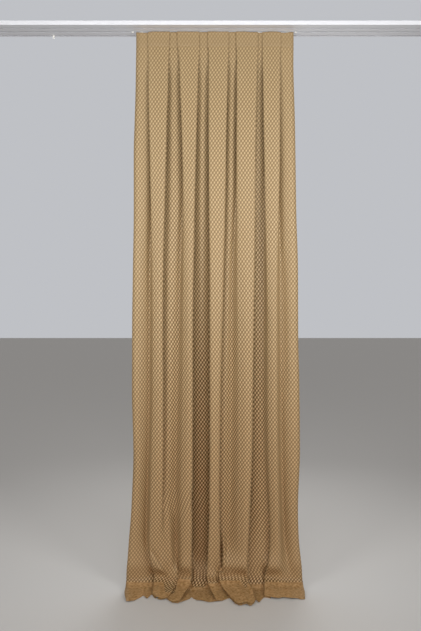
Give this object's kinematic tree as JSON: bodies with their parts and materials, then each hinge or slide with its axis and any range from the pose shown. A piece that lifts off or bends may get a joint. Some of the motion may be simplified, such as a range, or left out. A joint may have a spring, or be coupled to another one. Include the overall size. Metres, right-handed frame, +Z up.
{
  "type": "pleated curtain on a ceiling track",
  "caption": "Full-length box-pleated jacquard curtain whose foot lies forward on the floor, hooked to gliders in a slotted ceiling track.",
  "frame": {"origin": "centre of the track's ceiling face", "axes": "+X along the track, -Y towards the room and the viewer, +Z up into the ceiling"},
  "size_m": [2.1, 0.2569, 2.67],
  "materials": {
    "jacquard": "gold jacquard with a satin ground and small raised grains",
    "tape": "woven polyester heading tape",
    "track": "extrusion with a smooth white powder coat",
    "plastic": "moulded, pale grey",
    "steel": "bright zinc"
  },
  "bodies": {
    "root": {"curtain": "jacquard", "heading_tape": "tape", "track": "track", "glider_01": "plastic", "glider_02": "plastic", "glider_03": "plastic", "glider_04": "plastic", "glider_05": "plastic", "glider_06": "plastic", "glider_07": "plastic", "glider_08": "plastic", "glider_09": "plastic", "glider_10": "plastic", "glider_11": "plastic", "spare_glider": "plastic", "hook_01": "steel", "hook_02": "steel", "hook_03": "steel", "hook_04": "steel", "hook_05": "steel", "hook_06": "steel", "hook_07": "steel", "hook_08": "steel", "hook_09": "steel", "hook_10": "steel", "hook_11": "steel", "stop_left": "plastic", "stop_right": "plastic", "screw_left": "steel", "screw_middle": "steel", "screw_right": "steel"}
  },
  "joints": []
}
